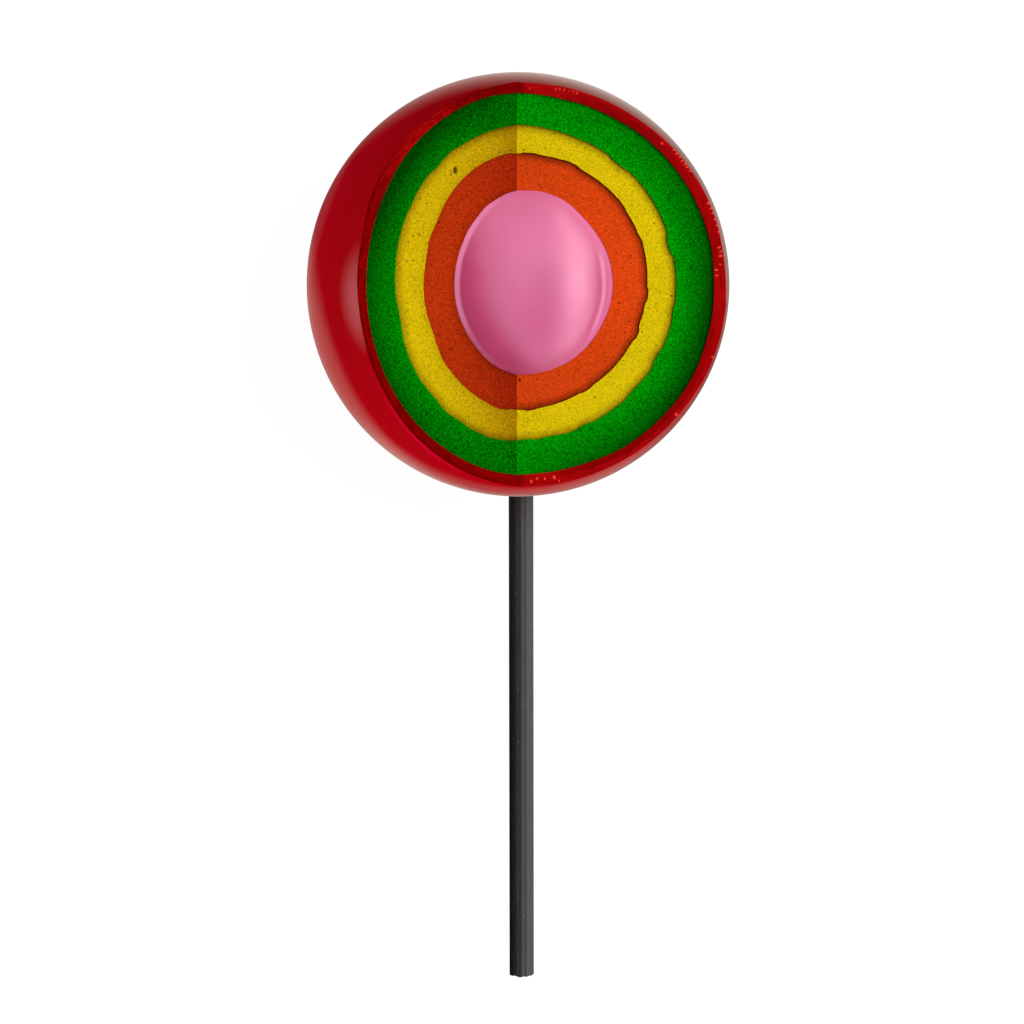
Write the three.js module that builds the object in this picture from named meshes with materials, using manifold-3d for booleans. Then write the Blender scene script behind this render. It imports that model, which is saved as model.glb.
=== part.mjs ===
// A ball lollipop on a fluted stick, lying on its back with the cut side up.
// A shallow V is cut out of the front of the ball. It shows a thin hard shell, three layers
// inside it, and a whole round centre that stands out of the cut.
// Millimetres, +Z up. The origin is the middle of the small flat spot that the ball rests on.
// +Y runs from the stick to the top of the ball, and +X to the right as seen from above.

import * as THREE from "three";
import { mergeVertices } from "three/addons/utils/BufferGeometryUtils.js";
import Module from "manifold-3d";

const wasm = await Module();
wasm.setup();

// Driving dimensions of the ball and its rest
const ballRadius = 29;
const restSpotDepth = 0.5;
const layerGap = 0.2;
const ballCentreHeight = ballRadius - restSpotDepth;

// Driving dimensions of the stick, measured from the ball's centre
const stickRadius = 1.75;
const stickEnd = 97;
const stickOffsetX = 0.55;
const stickClearance = 0.3;
const fluteCount = 14;
const fluteDepth = 0.12;
const pointsPerFlute = 4;
const boreSides = 24;

// The cut's two flat faces meet at a fold line. Heights are above the ball's centre, and each
// slope is the angle by which the face rises from the fold line to its side.
const foldX = -0.15;
const foldHeight = 10.8;
const leftSlope = 25.4;
const rightSlope = -5.9;

// The layers from the outside in. shift moves a layer's centre in X and Y, recess is how far its
// cut face lies below the shell's, and each lobe is [waves round the ball, depth, phase in degrees].
const shell = {
  name: "red_shell",
  radius: ballRadius,
  shift: [0, 0],
  recess: 0,
  lobes: [],
  detail: 9,
  finish: { color: 0x9f0111, roughness: 0.12 },
};
const green = {
  name: "green_layer",
  radius: 27.8,
  shift: [-0.45, 0],
  recess: 0.5,
  lobes: [
    [2, 0.12, -50],
    [3, 0.2, -5],
    [4, 0.1, 175],
  ],
  detail: 7,
  finish: { color: 0x038004, roughness: 0.6 },
};
const yellow = {
  name: "yellow_layer",
  radius: 23.3,
  shift: [-1, 0.1],
  recess: 0.9,
  lobes: [
    [3, 0.2, 10],
    [4, 0.15, -150],
  ],
  detail: 6,
  finish: { color: 0xd6bb0a, roughness: 0.6 },
};
const orange = {
  name: "orange_layer",
  radius: 19.65,
  shift: [-0.7, 0.3],
  recess: 1.3,
  lobes: [
    [2, 0.15, 160],
    [3, 0.25, 0],
    [5, 0.1, -170],
  ],
  detail: 6,
  finish: { color: 0xd54310, roughness: 0.6 },
};
const centre = {
  name: "pink_centre",
  radius: 15.5,
  shift: [-0.55, 0.2],
  lobes: [],
  detail: 8,
  finish: { color: 0xdb739a, roughness: 0.3 },
};
const stickFinish = { color: 0x353535, roughness: 0.5 };

const cutReach = 2 * ballRadius;
const radians = THREE.MathUtils.degToRad;

// A closed geometry as a solid that can be cut
function solidOf(geometry) {
  geometry.deleteAttribute("normal");
  geometry.deleteAttribute("uv");
  const merged = mergeVertices(geometry);
  return new wasm.Manifold(
    new wasm.Mesh({
      numProp: 3,
      vertProperties: merged.getAttribute("position").array,
      triVerts: new Uint32Array(merged.index.array),
    }),
  );
}

// A cut solid as a named mesh with its finish
function meshOf(name, solid, finish) {
  const { vertProperties, triVerts } = solid.getMesh();
  const geometry = new THREE.BufferGeometry();
  geometry.setAttribute("position", new THREE.BufferAttribute(vertProperties, 3));
  geometry.setIndex(new THREE.BufferAttribute(triVerts, 1));
  geometry.computeVertexNormals();
  const material = new THREE.MeshStandardMaterial({ ...finish, metalness: 0 });
  const mesh = new THREE.Mesh(geometry, material);
  mesh.name = name;
  return mesh;
}

// How far a layer's outer surface stands off a true ball in a direction. The waves run round the
// view axis and fade out at the front and the back.
function waveAt(layer, direction) {
  const around = Math.atan2(direction.y, direction.x);
  const fade = direction.x ** 2 + direction.y ** 2;
  const waveOf = ([waves, depth, phase]) => depth * Math.cos(waves * around - radians(phase));
  return fade * layer.lobes.reduce((sum, lobe) => sum + waveOf(lobe), 0);
}

// The whole ball inside a layer's outer surface, grown by a margin
function layerBall(layer, margin = 0) {
  const geometry = new THREE.IcosahedronGeometry(1, layer.detail);
  const position = geometry.getAttribute("position");
  const direction = new THREE.Vector3();
  const place = new THREE.Vector3();
  for (let i = 0; i < position.count; i++) {
    direction.fromBufferAttribute(position, i).normalize();
    place.copy(direction).multiplyScalar(layer.radius + margin + waveAt(layer, direction));
    position.setXYZ(i, place.x + layer.shift[0], place.y + layer.shift[1], place.z);
  }
  return solidOf(geometry);
}

// What the V takes away above a layer's cut face
function cutTool(recess) {
  const bottom = foldHeight - recess;
  const profile = new THREE.Shape();
  profile.moveTo(foldX, bottom);
  profile.lineTo(foldX + cutReach, bottom + cutReach * Math.tan(radians(rightSlope)));
  profile.lineTo(foldX + cutReach, cutReach);
  profile.lineTo(foldX - cutReach, cutReach);
  profile.lineTo(foldX - cutReach, bottom + cutReach * Math.tan(radians(leftSlope)));
  profile.closePath();
  const geometry = new THREE.ExtrudeGeometry(profile, { depth: 2 * cutReach, bevelEnabled: false });
  geometry.rotateX(Math.PI / 2);
  geometry.translate(0, cutReach, 0);
  return solidOf(geometry);
}

// The hole that the stick goes through
function stickBore() {
  const radius = stickRadius + stickClearance;
  const geometry = new THREE.CylinderGeometry(radius, radius, stickEnd, boreSides);
  geometry.translate(stickOffsetX, -stickEnd / 2, 0);
  return solidOf(geometry);
}

// What the floor takes off the ball, so that it rests on a flat spot
function floorTool() {
  const geometry = new THREE.BoxGeometry(2 * ballRadius, 2 * ballRadius, ballRadius);
  geometry.translate(0, 0, -ballCentreHeight - ballRadius / 2);
  return solidOf(geometry);
}

// One layer: its ball, less the ball of the next layer in, the cut, the stick's bore and the floor
function layerMesh(layer, inner) {
  const solid = layerBall(layer)
    .subtract(layerBall(inner, layerGap))
    .subtract(cutTool(layer.recess))
    .subtract(stickBore())
    .subtract(floorTool());
  return meshOf(layer.name, solid, layer.finish);
}

// The fluted section of the stick
function fluteSection() {
  const section = new THREE.Shape();
  const count = fluteCount * pointsPerFlute;
  for (let i = 0; i < count; i++) {
    const turn = (2 * Math.PI * i) / count;
    const radius = stickRadius - fluteDepth * (0.5 - 0.5 * Math.cos(fluteCount * turn));
    const point = [radius * Math.sin(turn), radius * Math.cos(turn)];
    if (i === 0) section.moveTo(...point);
    else section.lineTo(...point);
  }
  section.closePath();
  return section;
}

// The stick, from the round centre's face to its far end
function stickMesh() {
  const start = centre.radius - centre.shift[1] + stickClearance;
  const settings = { depth: stickEnd - start, bevelEnabled: false, steps: 1 };
  const geometry = new THREE.ExtrudeGeometry(fluteSection(), settings);
  geometry.rotateX(Math.PI / 2);
  geometry.translate(stickOffsetX, -start, 0);
  return meshOf("stick", solidOf(geometry), stickFinish);
}

const lollipop = new THREE.Group();
lollipop.position.z = ballCentreHeight;
lollipop.add(layerMesh(shell, green));
lollipop.add(layerMesh(green, yellow));
lollipop.add(layerMesh(yellow, orange));
lollipop.add(layerMesh(orange, centre));
lollipop.add(meshOf(centre.name, layerBall(centre), centre.finish));
lollipop.add(stickMesh());

export default lollipop;
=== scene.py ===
import math
from dataclasses import dataclass, replace
from types import SimpleNamespace

import bmesh
import bpy
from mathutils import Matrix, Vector


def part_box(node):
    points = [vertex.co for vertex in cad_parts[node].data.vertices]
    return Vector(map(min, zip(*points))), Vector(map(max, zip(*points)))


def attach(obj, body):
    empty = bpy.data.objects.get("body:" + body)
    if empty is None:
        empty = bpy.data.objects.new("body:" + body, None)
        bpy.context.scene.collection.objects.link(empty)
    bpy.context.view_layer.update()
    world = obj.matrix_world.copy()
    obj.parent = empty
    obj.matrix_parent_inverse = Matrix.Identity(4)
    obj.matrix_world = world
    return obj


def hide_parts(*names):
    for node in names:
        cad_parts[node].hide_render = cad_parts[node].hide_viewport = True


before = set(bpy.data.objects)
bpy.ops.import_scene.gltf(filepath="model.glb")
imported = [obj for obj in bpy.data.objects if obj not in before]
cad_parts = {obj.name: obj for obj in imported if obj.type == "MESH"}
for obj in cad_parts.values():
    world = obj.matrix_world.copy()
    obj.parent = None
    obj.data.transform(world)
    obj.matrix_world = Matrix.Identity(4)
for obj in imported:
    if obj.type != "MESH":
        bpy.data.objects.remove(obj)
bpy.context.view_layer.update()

bl_info = {
    "name": "Layered Ball Lollipop",
    "version": (1, 0, 0),
    "blender": (4, 5, 0),
    "location": "View3D > Sidebar > Lollipop",
    "description": "Makes a cut ball lollipop: glossy shell, sugar layers, round centre and fluted stick",
    "category": "Object",
}

MM = 0.001
UP = Vector((0.0, 0.0, 1.0))

# Places and sizes that come from the frame
SHELL_LOW, SHELL_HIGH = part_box("red_shell")
CENTRE_LOW, CENTRE_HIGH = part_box("pink_centre")
STICK_LOW, STICK_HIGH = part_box("stick")
BALL_RADIUS = (SHELL_HIGH.x - SHELL_LOW.x) / 2
CENTRE_RADIUS = (CENTRE_HIGH.z - CENTRE_LOW.z) / 2
CENTRE_PLACE = (CENTRE_LOW + CENTRE_HIGH) / 2
BALL_HEIGHT = CENTRE_PLACE.z
STICK_RADIUS = (STICK_HIGH.z - STICK_LOW.z) / 2
STICK_X = (STICK_LOW.x + STICK_HIGH.x) / 2

# How finely the round pieces are divided
COLUMNS = 1024
BOWL_ROWS = 12
OUTSIDE_ROWS = 64
OUTSIDE_ARC = math.radians(120)
ROW_SLACK = 0.01
MERGE_DISTANCE = 1e-6
SHARP_ANGLE = math.radians(35)

# The layers' centres beside the ball's centre, and the waves round their outer surfaces, each as
# (waves, depth, phase in degrees)
GREEN_SHIFT = (-0.45 * MM, 0.0)
GREEN_LOBES = ((2, 0.12 * MM, -50), (3, 0.2 * MM, -5), (4, 0.1 * MM, 175))
YELLOW_SHIFT = (-1.0 * MM, 0.1 * MM)
YELLOW_LOBES = ((3, 0.2 * MM, 10), (4, 0.15 * MM, -150))
ORANGE_SHIFT = (-0.7 * MM, 0.3 * MM)
ORANGE_LOBES = ((2, 0.15 * MM, 160), (3, 0.25 * MM, 0), (5, 0.1 * MM, -170))
CENTRE_SHIFT = (CENTRE_PLACE.x, CENTRE_PLACE.y)

# Single bumps and dents round the layers' edges, each as (place and half width in degrees, height)
GREEN_BUMPS = (
    (15, 50, 0.17 * MM), (80, 10, -0.15 * MM), (115, 30, 0.3 * MM), (282, 22, -0.3 * MM),
    (338, 25, 0.13 * MM), (353, 21, -0.2 * MM), (65, 14, -0.09 * MM), (91, 5, -0.13 * MM),
)
YELLOW_BUMPS = (
    (20, 50, 0.15 * MM), (108, 40, 0.3 * MM), (185, 30, -0.2 * MM), (195, 12, -0.3 * MM),
    (232, 8, -0.15 * MM), (245, 18, 0.15 * MM), (280, 9, -0.25 * MM), (320, 6, -0.15 * MM),
    (270, 5, -0.1 * MM), (15, 5, -0.4 * MM), (50, 5, -0.3 * MM), (116, 3, 0.15 * MM), (124, 4, -0.2 * MM),
    (142, 4, -0.15 * MM), (195, 8, -0.15 * MM), (234, 4, -0.15 * MM), (247, 4, -0.2 * MM),
    (260, 4, 0.15 * MM), (272, 5, -0.25 * MM), (296, 3, -0.2 * MM), (333, 4, -0.22 * MM),
    (351, 3, -0.15 * MM),
)
ORANGE_BUMPS = (
    (60, 80, 0.38 * MM), (72, 14, 0.12 * MM), (90, 3, -0.2 * MM), (118, 22, 0.4 * MM),
    (165, 12, -0.1 * MM), (207, 9, -0.2 * MM), (232, 16, 0.25 * MM), (250, 8, 0.15 * MM),
    (270, 5, -0.3 * MM), (20, 3, 0.12 * MM), (38, 4, 0.1 * MM), (66, 5, 0.2 * MM), (78, 4, -0.1 * MM),
    (97, 5, 0.15 * MM), (152, 7, 0.2 * MM), (168, 5, -0.1 * MM), (190, 5, 0.1 * MM),
    (210, 5, -0.1 * MM), (226, 6, 0.15 * MM), (260, 5, 0.2 * MM), (282, 5, -0.1 * MM),
    (304, 4, 0.15 * MM), (338, 4, 0.3 * MM), (356, 4, 0.25 * MM), (30, 14, -0.18 * MM),
)
CENTRE_BUMPS = (
    (5, 30, 0.2 * MM), (66, 20, 0.2 * MM), (95, 55, 0.35 * MM), (105, 16, 0.25 * MM),
    (122, 20, 0.2 * MM), (175, 60, 0.3 * MM), (235, 20, 0.15 * MM), (254, 12, 0.2 * MM),
    (280, 30, -0.15 * MM),
)

# How far the rim's outer edge drops round the ball, in the same form
RIM_DROPS = (
    (62, 24, -0.8 * MM), (128, 35, 1.2 * MM), (195, 100, 0.45 * MM), (245, 25, 0.3 * MM),
    (285, 32, -0.4 * MM), (346, 26, 0.9 * MM), (22, 12, 0.6 * MM), (2, 7, -0.3 * MM),
    (192, 14, -0.15 * MM), (84, 7, -0.5 * MM),
)

# The low lip round the foot of the centre, and the groove above it. The left height only bounds a painted
# highlight line along the foot; the left has no shaped lip.
LEFT_HIGHLIGHT_HEIGHT = 0.62 * MM
RIGHT_LIP = 1.1 * MM
GROOVE_STAND = 1.6 * MM
GROOVE_WIDTH = 0.42 * MM
GROOVE_DEPTH = 0.16 * MM

# The round centre's mesh, its soft swells and how far it is drawn in for them
CENTRE_SEGMENTS = 384
CENTRE_RINGS = 192
CENTRE_SWELL_SIZE = 9 * MM
CENTRE_SWELL = 0.18 * MM
CENTRE_INSET = 0.06 * MM

# Grain, swells, pits and rounded outer edge of the sugar layers' cut faces, and their ragged outlines
GRAIN_SIZE = 0.5 * MM
GRAIN_DEPTH = 0.03 * MM
SWELL_SIZE = 7 * MM
SWELL_DEPTH = 0.25 * MM
PIT_DEPTH = 0.2 * MM
SUGAR_ROUNDING = 0.3 * MM
SUGAR_DIP = 0.12 * MM
RAGGED_SIZE = 1.6 * MM

# Chips and rounded edges of the shell's cut edge
CHIP_SIZE = 1.1 * MM
CHIP_TILT = 0.1
CHIP_MARGIN = 0.4 * MM
RIM_OUTER_ROUNDING = 0.25 * MM
RIM_INNER_ROUNDING = 0.2 * MM
RIM_DIP = 0.05 * MM

# The painted highlight line on the shell: how far below the rim it runs, and its half width
LINE_DROP = 0.55 * MM
LINE_WIDTH = 0.3 * MM

# The stick's mesh, its rounded ends, its lean, and its uneven cut end
STICK_STEPS = 160
POINTS_PER_FLUTE = 12
STICK_BEVEL = 0.14 * MM
STICK_LEAN = 0.15 * MM
END_REACH = 1.5 * MM
END_GRAIN = 0.7 * MM
END_DEPTH = 0.45 * MM

# The stick's slight waist and the swelling below it, as shares of its length and of its radius
WAIST_PLACE = 0.37
WAIST_REACH = 0.1
WAIST_DEPTH = 0.03
SWELLING_START = 0.42
SWELLING_RUN = 0.45
SWELLING_HEIGHT = 0.045

# Grain, mottling and specks in the sugar's colour
COLOUR_GRAIN = 0.18 * MM
GRAIN_SLANT = math.radians(-45)
GRAIN_STRETCH = 1.8
MOTTLE_SIZE = 4 * MM
SPECK_SPACING = 0.8 * MM

# Reach of a pit or speck as a share of the spacing: the least, what chance adds to it, and what
# stands for none
SPOT_LEAST = 0.075
SPOT_SPREAD = 0.16
NO_SPOT = 0.001

# How far the painted shade on the sugar reaches from an edge or from the fold line, and the tint of the
# painted shade low on the left by the fold
EDGE_REACH = 1.35 * MM
GREEN_REACH = 4.9 * MM
GREEN_EDGE = 0.45 * MM
CONTACT_REACH = 0.9 * MM
UNDER_REACH = 2 * MM
RIGHT_FOLD_REACH = 5 * MM
LOW_LEFT_REACH = 4.5 * MM
LOW_LEFT_TINT = (0.93, 0.83, 0.96)

# Soft zones of painted shade on the sugar round the view axis, each as (degrees, narrowness, strength)
GREEN_RIGHT_ZONES = ((-18, 3, 1.05),)
GREEN_LEFT_ZONES = ((135, 5, 1.2), (222, 8, 0.85))
ORANGE_LEFT_ZONES = ((165, 6, 0.35), (255, 12, 0.2))

# Zones of painted light on the right of the shell's cut edge, and chipped zones on its left that are painted
# lighter, in the same form
RIM_PAINTED_LIGHT_ZONES = ((50, 6, 0.35), (0, 150, 0.35), (81, 250, 0.7))
RIM_CHIPPED_ZONES = ((119, 100, 0.8), (170, 60, 0.5))

# Painted glints along the rim, each as (place in degrees, millimetres in from the outer edge, size)
GLINTS = (
    (44.6, 0.55, 1), (41, 0.12, 0.8), (39.7, 0.2, 0.8), (38.4, 0.1, 0.9), (37.2, 0.2, 0.7), (36, 0.12, 1),
    (35, 0.2, 0.7), (33.6, 0.12, 1), (23.4, 0.15, 1), (21.8, 0.2, 0.7), (20.4, 0.12, 0.8), (18.6, 0.15, 0.7),
    (16.8, 0.15, 0.8), (15, 0.12, 0.7), (10.8, 0.45, 1.1), (9.6, 0.3, 0.9), (8.4, 0.4, 1.2), (6.1, 0.6, 0.8),
    (4.6, 1.2, 1.2), (3, 1.2, 0.9), (-20, 0.12, 0.9), (-39, 0.25, 1.2), (-78, 0.35, 0.8), (-79.2, 0.9, 1.3),
    (-82.1, 0.9, 0.9), (-84.3, 1, 1), (-86.1, 0.65, 1.1), (79.1, 0.45, 0.7), (78, 0.4, 0.6),
    (76.6, 0.35, 0.8), (75.2, 0.35, 0.6), (74, 0.3, 0.7), (73, 0.35, 0.9), (86.6, 0.7, 0.7),
)
GLINT_NARROWNESS = 60000
GLINT_DEPTH = 0.3 * MM
GLINT_GRAIN = 0.22 * MM

# Streaks and blotches in the colour of the shell's cut edge
STREAK_SIZE = 0.35 * MM
BLOTCH_SIZE = 0.3 * MM

# The large soft light overhead, the light off the floor, and the room's own light
SOFTBOX_PLACE = (0.42, 0.16, 0.72)
SOFTBOX_SIZE = (0.9, 0.9)
SOFTBOX_WATTS = 8.2
BOUNCE_PLACE = (0.0, 0.0, 0.0001)
BOUNCE_SIZE = (1.2, 1.2)
BOUNCE_WATTS = 2.9
ROOM_STRENGTH = 0.22

# Two long soft lights that form a low arch on the right, each as (name, place, roll in degrees)
STRIP_SIZE = (1.5, 0.44)
STRIP_WATTS = 9.3
STRIPS = (
    ("upper_strip", (0.457, 0.151, 0.176), -23.6),
    ("lower_strip", (0.457, -0.151, 0.176), 23.6),
)

# Soft lights that only gloss shows, each as (name, place, facing, size, watts, softness)
GLOWS = (
    ("left_window", (-0.09, -0.0085, 0.0445), Vector((1, 0, 0)), (0.076, 0.056), 0.0126, 0.84),
    ("left_glow", (-0.033, -0.02, 0.0004), UP, (0.102, 0.068), 0.0048, 0.5),
    ("upper_glow", (-0.039, 0.014, 0.00025), UP, (0.04, 0.032), 0.00019, 0.5),
    ("bottom_glow", (-0.004, -0.04, 0.00035), UP, (0.089, 0.046), 0.0016, 0.5),
    ("right_glow", (0.03, -0.02, 0.0003), UP, (0.1, 0.1), 0.0035, 0.5),
    ("side_glow", (0.05, 0.008, 0.0005), UP, (0.06, 0.06), 0.0032, 1.0),
    ("top_glow", (0.012, 0.037, 0.0002), UP, (0.11, 0.084), 0.016, 1.0),
)

BLACK = (0.0, 0.0, 0.0, 1.0)
WHITE = (1.0, 1.0, 1.0, 1.0)
WARM_WHITE = (1.0, 1.0, 0.87)
DUST_GREY = (0.5, 0.5, 0.5, 1.0)


def srgb(red, green, blue):
    """A linear colour from screen values of 0 to 255."""
    parts = [value / 255 for value in (red, green, blue)]
    return tuple(v / 12.92 if v <= 0.04045 else ((v + 0.055) / 1.055) ** 2.4 for v in parts)


def length(name, description, default):
    return bpy.props.FloatProperty(
        name=name, description=description, default=default, unit="LENGTH", precision=5
    )


def angle(name, description, degrees):
    return bpy.props.FloatProperty(
        name=name, description=description, default=math.radians(degrees), subtype="ANGLE"
    )


def colour(name, description, *screen):
    return bpy.props.FloatVectorProperty(
        name=name, description=description, default=srgb(*screen), subtype="COLOR", min=0, max=1
    )


class LollipopSizes(bpy.types.PropertyGroup):
    """Sizes of the ball, its layers, its cut and the stick"""

    ball_radius: length("Ball", "Outer radius of the shell", BALL_RADIUS)
    shell_inside: length("Shell Inside", "Radius of the shell's inner surface", 27.85 * MM)
    green_inside: length("Green Inside", "Radius of the green layer's inner surface", 23.54 * MM)
    yellow_inside: length("Yellow Inside", "Radius of the yellow layer's inner surface", 19.7 * MM)
    centre_radius: length("Centre", "Radius of the round centre", CENTRE_RADIUS)
    joint_gap: length("Joint Gap", "Gap between two layers", 0.02 * MM)
    fold_x: length("Fold", "Where the cut's fold line lies beside the ball's centre", -0.15 * MM)
    fold_height: length("Fold Height", "Height of the fold line above the ball's centre", 10.8 * MM)
    left_slope: angle("Left Slope", "How steeply the cut rises to the left", 25.4)
    right_slope: angle("Right Slope", "How steeply the cut rises to the right", -5.9)
    green_recess: length("Green Recess", "How far the green face lies below the rim", 0.5 * MM)
    yellow_recess: length("Yellow Recess", "How far the yellow face lies below the rim", 0.9 * MM)
    orange_recess: length("Orange Recess", "How far the orange face lies below the rim", 1.3 * MM)
    stick_radius: length("Stick", "Radius over the stick's ribs", STICK_RADIUS)
    flute_depth: length("Flute Depth", "Depth of the grooves between the ribs", 0.08 * MM)
    flute_count: bpy.props.IntProperty(name="Flutes", description="Ribs round the stick", default=14)


class LollipopColours(bpy.types.PropertyGroup):
    """Colours of the candy and the stick"""

    shell: colour("Shell", "Polished red sugar", 218, 1, 19)
    # Painted shade: the shell darker at its upper right
    shell_painted_shade: colour("Shell Dark", "Red sugar at the upper right", 118, 1, 4)
    # Painted highlight: a bright line on the shell just below its rim at the lower left
    shell_painted_highlight: colour("Shell Line", "Bright line on the shell below its rim", 255, 4, 62)
    # Painted glow: emission low on the shell's left that stands in for light coming through it
    shell_painted_glow: colour("Shell Glow", "Light that comes through the shell's left side", 111, 1, 24)
    # Painted light and shade on the cut edge: the lit tone on its right, the shaded tone on its left
    rim: colour("Rim", "Cut edge of the shell", 172, 9, 12)
    rim_painted_shade: colour("Rim Dark", "Cut edge of the shell on the left", 126, 1, 2)
    # Chips on the left of the cut edge: real chips in the relief, painted lighter where they catch the light
    rim_chip: colour("Rim Chip", "Chips on the left of the cut edge", 205, 12, 16)
    # Painted glints: bright spots on the cut edge
    rim_glint: colour("Rim Glint", "Chips on the cut edge", 248, 66, 48)
    green: colour("Green", "Green sugar", 2, 138, 3)
    # Painted shade: green sugar darker near the shell
    green_painted_shade: colour("Green Deep", "Green sugar beside the shell", 2, 72, 2)
    yellow: colour("Yellow", "Yellow sugar", 213, 185, 9)
    # Painted shade: yellow sugar darker near the green
    yellow_painted_shade: colour("Yellow Deep", "Yellow sugar beside the green", 138, 116, 4)
    orange: colour("Orange", "Orange sugar", 216, 68, 16)
    # Painted shade: orange sugar darker near the yellow
    orange_painted_shade: colour("Orange Deep", "Orange sugar beside the yellow", 116, 35, 5)
    pink: colour("Pink", "Round centre", 222, 114, 155)
    # Painted light: a lit, warmer tone on the round centre's right
    pink_painted_light: colour("Pink Right", "Round centre on its right", 227, 107, 155)
    pink_low: colour("Pink Low", "Round centre at its lower right", 240, 121, 168)
    # Painted shade: the round centre darker at its lower left
    pink_painted_shade: colour("Pink Deep", "Round centre at its lower left", 215, 78, 126)
    # Painted highlight: a light line along the centre's foot on the left
    pink_painted_highlight: colour("Pink Lip", "Lip on the left of the centre", 255, 150, 196)
    pink_edge: colour("Pink Edge", "Foot of the centre on its right", 226, 126, 178)
    # Painted light and shade: the stick lit on its right and shaded on its left
    stick: colour("Stick", "Stick plastic on its right", 64, 64, 64)
    stick_painted_shade: colour("Stick Dark", "Stick plastic on its left", 6, 6, 6)


class LollipopStage(bpy.types.PropertyGroup):
    """Camera and floor"""

    camera_height: length("Camera Height", "Camera above the ball's centre", 339.3 * MM)
    tilt: angle("Tilt", "How far the camera looks from straight down towards the stick", 5.265)
    turn: angle("Turn", "How far the camera looks from straight down to the left", 0.139)
    lens: bpy.props.FloatProperty(name="Lens", description="Focal length", default=86.26, unit="CAMERA")
    floor_size: length("Floor", "Side of the square floor", 6.0)
    floor: colour("Floor", "Pale floor", 90, 90, 90)


class Wire:
    """An output socket. Sums on it add Math nodes to its tree."""

    def __init__(self, nodes, socket):
        self.nodes = nodes
        self.socket = socket

    def out(self, name):
        return Wire(self.nodes, self.socket.node.outputs[name])

    def __add__(self, other):
        return self.nodes.math("ADD", self, other)

    def __sub__(self, other):
        return self.nodes.math("SUBTRACT", self, other)

    def __rsub__(self, other):
        return self.nodes.math("SUBTRACT", other, self)

    def __mul__(self, other):
        return self.nodes.math("MULTIPLY", self, other)

    def __truediv__(self, other):
        return self.nodes.math("DIVIDE", self, other)

    def __pow__(self, other):
        return self.nodes.math("POWER", self, other)

    def __neg__(self):
        return self.nodes.math("MULTIPLY", self, -1)

    def __lt__(self, other):
        return self.nodes.math("LESS_THAN", self, other)

    def __gt__(self, other):
        return self.nodes.math("GREATER_THAN", self, other)

    __radd__ = __add__
    __rmul__ = __mul__


class Nodes:
    """Adds nodes to one tree, and keeps the values of the tree's own inputs."""

    def __init__(self, tree):
        self.tree = tree
        self.values = {}

    def add(self, kind, settings=None, inputs=None, output=0):
        node = self.tree.nodes.new(kind)
        for name, value in (settings or {}).items():
            setattr(node, name, value)
        for name, value in (inputs or {}).items():
            if isinstance(value, Wire):
                self.tree.links.new(value.socket, node.inputs[name])
            else:
                node.inputs[name].default_value = value
        return Wire(self, node.outputs[output]) if node.outputs else None

    def input(self, name, value):
        """A named input of the tree, with the value that its modifier gets."""
        socket = self.tree.interface.new_socket(name, in_out="INPUT", socket_type="NodeSocketFloat")
        self.values[socket.identifier] = value
        return self.add("NodeGroupInput", output=name)

    def math(self, operation, *values, clamp=False):
        settings = {"operation": operation, "use_clamp": clamp}
        return self.add("ShaderNodeMath", settings, dict(enumerate(values)))

    def clamp(self, value):
        return self.math("ADD", value, 0, clamp=True)

    def smooth(self, value):
        """0 to 1 with soft ends"""
        share = self.clamp(value)
        return share * share * (3 - 2 * share)

    def vector(self, x=0.0, y=0.0, z=0.0):
        return self.add("ShaderNodeCombineXYZ", inputs={"X": x, "Y": y, "Z": z})

    def split(self, vector):
        parts = self.add("ShaderNodeSeparateXYZ", inputs={"Vector": vector})
        return parts, parts.out("Y"), parts.out("Z")

    def noise(self, place, size, detail=2.0, roughness=0.5):
        """Noise of 0 to 1 whose spots are about a given size across"""
        inputs = {"Vector": place, "Scale": 1 / size, "Detail": detail, "Roughness": roughness}
        return self.add("ShaderNodeTexNoise", inputs=inputs)

    def cells(self, place, size):
        """Voronoi cells: how far a point is from its cell's middle, in cells"""
        return self.add("ShaderNodeTexVoronoi", inputs={"Vector": place, "Scale": 1 / size})

    def mix(self, share, first, second, blend="MIX"):
        settings = {"data_type": "RGBA", "blend_type": blend, "clamp_factor": True}
        return self.add("ShaderNodeMix", settings, {0: share, 6: first, 7: second}, output=2)


def rgba(values):
    return (*values, 1.0)


# Geometry trees

@dataclass(frozen=True)
class Skin:
    """A round surface between two layers"""

    radius: float
    shift: tuple = (0.0, 0.0)
    lobes: tuple = ()
    bumps: tuple = ()
    ragged: float = 0.0
    seed: float = 0.0


def geometry_nodes(name):
    tree = bpy.data.node_groups.new(name, "GeometryNodeTree")
    tree.interface.new_socket("Geometry", in_out="OUTPUT", socket_type="NodeSocketGeometry")
    return Nodes(tree)


def finish_tree(nodes, mesh, material):
    """Closes the seams and poles, and ends the tree."""
    merged = nodes.add(
        "GeometryNodeMergeByDistance", inputs={"Geometry": mesh, "Distance": MERGE_DISTANCE}
    )
    smooth = nodes.add("GeometryNodeSetShadeSmooth", inputs={"Geometry": merged})
    real = nodes.add("GeometryNodeRealizeInstances", inputs={"Geometry": smooth})
    coated = nodes.add("GeometryNodeSetMaterial", inputs={"Geometry": real, "Material": material})
    nodes.add("NodeGroupOutput", inputs={"Geometry": coated})


def store(nodes, mesh, name, value, domain="POINT"):
    settings = {"data_type": "FLOAT", "domain": domain}
    inputs = {"Geometry": mesh, "Name": name, "Value": value}
    return nodes.add("GeometryNodeStoreNamedAttribute", settings, inputs)


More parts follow.
